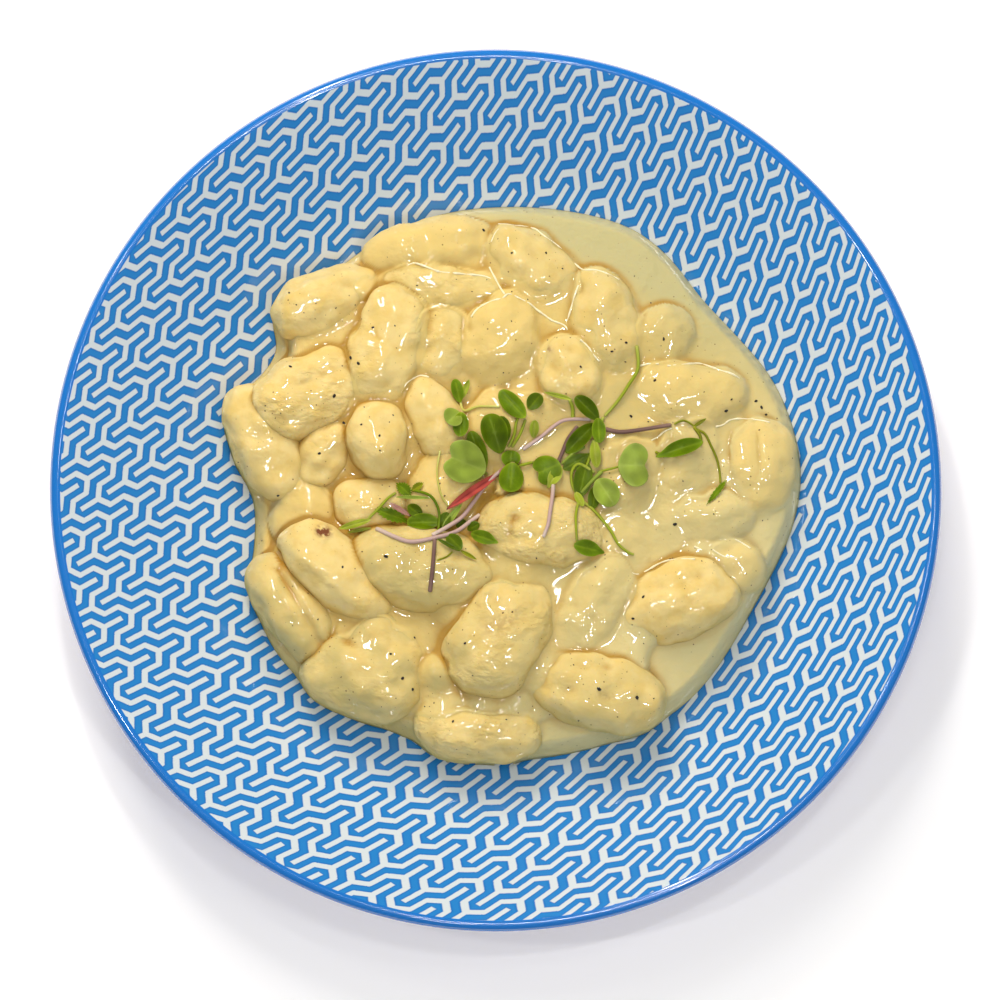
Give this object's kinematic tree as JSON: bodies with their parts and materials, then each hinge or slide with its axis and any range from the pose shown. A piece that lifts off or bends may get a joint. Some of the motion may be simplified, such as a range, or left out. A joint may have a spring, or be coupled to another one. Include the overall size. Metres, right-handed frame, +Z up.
{
  "type": "bowl of potato gnocchi",
  "caption": "Plated pasta dish: potato gnocchi heaped in cream sauce in a shallow coupe bowl with a blue and white fret, finished with microgreens.",
  "frame": {"origin": "centre of the foot ring, on the plane it stands on", "axes": "+Z up along the bowl's axis; +Y away from the diner who sees the food the right way up; +X to that diner's right"},
  "size_m": [0.2398, 0.2398, 0.036],
  "materials": {
    "printed_glaze": "gloss",
    "potato_dough": "satin",
    "cream_sauce": "gloss",
    "microgreens": "satin"
  },
  "bodies": {
    "root": {"bowl": "printed_glaze", "gnocco_01": "potato_dough", "gnocco_02": "potato_dough", "gnocco_03": "potato_dough", "gnocco_04": "potato_dough", "gnocco_05": "potato_dough", "gnocco_06": "potato_dough", "gnocco_07": "potato_dough", "gnocco_08": "potato_dough", "gnocco_09": "potato_dough", "gnocco_10": "potato_dough", "gnocco_11": "potato_dough", "gnocco_12": "potato_dough", "gnocco_13": "potato_dough", "gnocco_14": "potato_dough", "gnocco_15": "potato_dough", "gnocco_16": "potato_dough", "gnocco_17": "potato_dough", "gnocco_18": "potato_dough", "gnocco_19": "potato_dough", "gnocco_20": "potato_dough", "gnocco_21": "potato_dough", "gnocco_22": "potato_dough", "gnocco_23": "potato_dough", "gnocco_24": "potato_dough", "gnocco_25": "potato_dough", "gnocco_26": "potato_dough", "gnocco_27": "potato_dough", "gnocco_28": "potato_dough", "gnocco_29": "potato_dough", "gnocco_30": "potato_dough", "gnocco_31": "potato_dough", "gnocco_32": "potato_dough", "gnocco_33": "potato_dough", "gnocco_34": "potato_dough", "gnocco_35": "potato_dough", "gnocco_36": "potato_dough", "gnocco_37": "potato_dough", "sauce": "cream_sauce", "sprig_01": "microgreens", "sprig_02": "microgreens", "sprig_03": "microgreens", "sprig_04": "microgreens", "sprig_05": "microgreens", "sprig_06": "microgreens", "sprig_07": "microgreens", "sprig_08": "microgreens", "sprig_09": "microgreens", "sprig_10": "microgreens", "sprig_11": "microgreens"}
  },
  "joints": []
}
